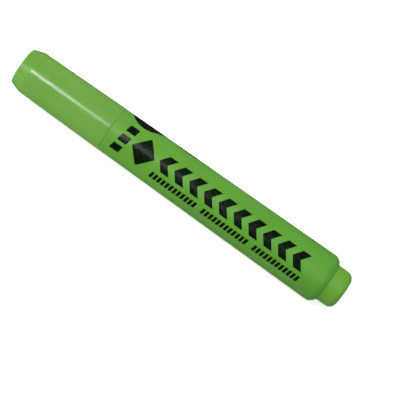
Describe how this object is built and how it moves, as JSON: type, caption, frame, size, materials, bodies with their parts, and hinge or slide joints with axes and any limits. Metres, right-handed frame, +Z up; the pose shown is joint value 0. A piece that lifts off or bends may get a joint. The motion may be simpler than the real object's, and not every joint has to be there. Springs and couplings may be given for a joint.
{
  "type": "highlighter",
  "caption": "Round tapered highlighter pen with a pull-off cap, chisel nib, fibre ink reservoir and a stepped tail post that takes the cap.",
  "frame": {"origin": "under the middle of the pen's length, on the surface that the widest part of the barrel touches", "axes": "+X along the pen from the cap's closed end to the tail, +Y across the pen, +Z up through the printed side"},
  "size_m": [0.126, 0.0172, 0.0172],
  "materials": {
    "cap_plastic": "smooth moulded polypropylene with a soft gloss",
    "barrel_plastic": "satin moulded polypropylene with a fine spark-eroded grain",
    "plug_plastic": "satin moulded polypropylene",
    "seal_plastic": "natural soft polyethylene",
    "nib_fibre": "bonded polyester fibre soaked in fluorescent ink",
    "reservoir_fibre": "loose polyester fibre soaked in fluorescent ink",
    "clear_film": "clear polypropylene film wrap",
    "print_ink": "black screen-printed ink with a soft sheen"
  },
  "bodies": {
    "pen": {"barrel": "barrel_plastic", "nib_holder": "barrel_plastic", "chisel_nib": "nib_fibre", "reservoir_fibre": "reservoir_fibre", "reservoir_film": "clear_film", "breather_tube": "seal_plastic", "tail_plug": "plug_plastic"},
    "cap": {"cap_shell": "cap_plastic", "cap_inner_seal": "seal_plastic"}
  },
  "joints": [
    {"name": "cap_pull", "type": "slide", "parent": "pen", "child": "cap", "axis": [-1, 0, 0], "range_m": [0, 0.045]}
  ]
}
